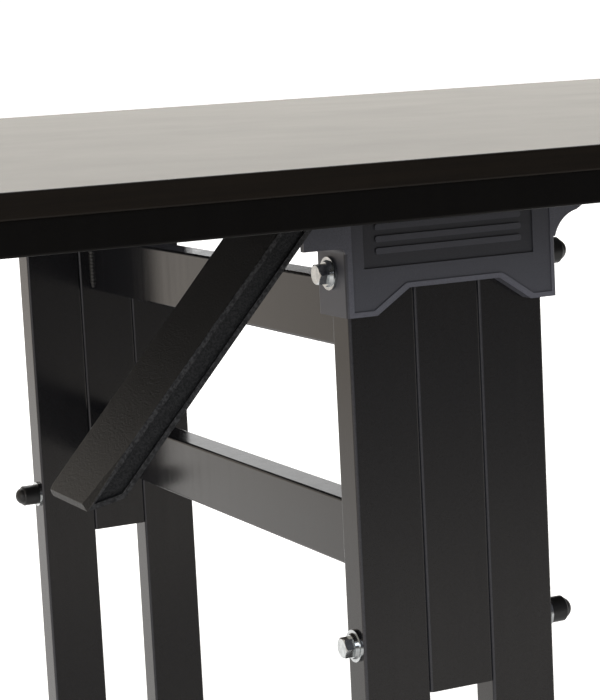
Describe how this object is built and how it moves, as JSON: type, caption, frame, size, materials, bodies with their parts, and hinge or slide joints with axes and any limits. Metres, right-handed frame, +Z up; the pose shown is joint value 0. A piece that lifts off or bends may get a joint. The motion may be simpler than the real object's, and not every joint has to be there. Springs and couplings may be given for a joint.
{
  "type": "folding table",
  "caption": "Long rectangular folding table on triple-tube leg frames that fold in under the top, with a hanging hand lever and latch shaft at each end.",
  "frame": {"origin": "on the floor under the middle of the top", "axes": "+X along the top towards the right end, +Y across it to the far side, +Z up"},
  "size_m": [2.44, 1.07, 0.74],
  "materials": {
    "board": "raw board",
    "laminate": "fine satin texture",
    "edge": "dark brown satin",
    "rail": "black powder coat",
    "tube": "graphite semi-gloss powder coat",
    "bracket": "moulded slate grey",
    "lever": "black, spark-eroded texture",
    "cap": "black moulded",
    "foot": "black moulded",
    "bearing": "black nylon",
    "rubber": "black rubber",
    "zinc_steel": "bright zinc",
    "hook": "black steel"
  },
  "bodies": {
    "table_top": {"top_board": "board", "top_laminate": "laminate", "edge_band": "edge", "near_rail": "rail", "far_rail": "rail", "left_end_rail": "rail", "right_end_rail": "rail", "near_stiffener": "rail", "far_stiffener": "rail", "hinge_pins": "zinc_steel", "stop_pads": "rubber", "lever_catches": "bearing", "lever_bumpers": "rubber", "screws": "zinc_steel", "left_hinge_brackets": "zinc_steel", "left_shaft_bearings": "bearing", "right_hinge_brackets": "zinc_steel", "right_shaft_bearings": "bearing"},
    "left_leg_frame": {"left_near_outboard_tube": "tube", "left_near_stub_tube": "tube", "left_near_inboard_tube": "tube", "left_far_outboard_tube": "tube", "left_far_stub_tube": "tube", "left_far_inboard_tube": "tube", "left_upper_crossbar": "tube", "left_lower_crossbar": "tube", "left_near_bracket": "bracket", "left_far_bracket": "bracket", "left_through_bolts": "zinc_steel", "left_washers": "zinc_steel", "left_cap_nuts": "cap", "left_feet": "foot", "left_striker_pins": "zinc_steel"},
    "right_leg_frame": {"right_near_outboard_tube": "tube", "right_near_stub_tube": "tube", "right_near_inboard_tube": "tube", "right_far_outboard_tube": "tube", "right_far_stub_tube": "tube", "right_far_inboard_tube": "tube", "right_upper_crossbar": "tube", "right_lower_crossbar": "tube", "right_near_bracket": "bracket", "right_far_bracket": "bracket", "right_through_bolts": "zinc_steel", "right_washers": "zinc_steel", "right_cap_nuts": "cap", "right_feet": "foot", "right_striker_pins": "zinc_steel"},
    "left_latch": {"left_lever": "lever", "left_latch_shaft": "zinc_steel", "left_near_hook": "hook", "left_far_hook": "hook", "left_shaft_collars": "zinc_steel"},
    "right_latch": {"right_lever": "lever", "right_latch_shaft": "zinc_steel", "right_near_hook": "hook", "right_far_hook": "hook", "right_shaft_collars": "zinc_steel"}
  },
  "joints": [
    {"name": "left_leg_fold", "type": "hinge", "parent": "table_top", "child": "left_leg_frame", "pos_m": [-0.716, 0, 0.705], "axis": [0, -1, 0], "range_deg": [0, 90]},
    {"name": "right_leg_fold", "type": "hinge", "parent": "table_top", "child": "right_leg_frame", "pos_m": [0.716, 0, 0.705], "axis": [0, 1, 0], "range_deg": [0, 90]},
    {"name": "left_lever_swing", "type": "hinge", "parent": "table_top", "child": "left_latch", "pos_m": [-0.966, 0, 0.709], "axis": [0, 1, 0], "range_deg": [0, 41]},
    {"name": "right_lever_swing", "type": "hinge", "parent": "table_top", "child": "right_latch", "pos_m": [0.966, 0, 0.709], "axis": [0, -1, 0], "range_deg": [0, 41]}
  ]
}
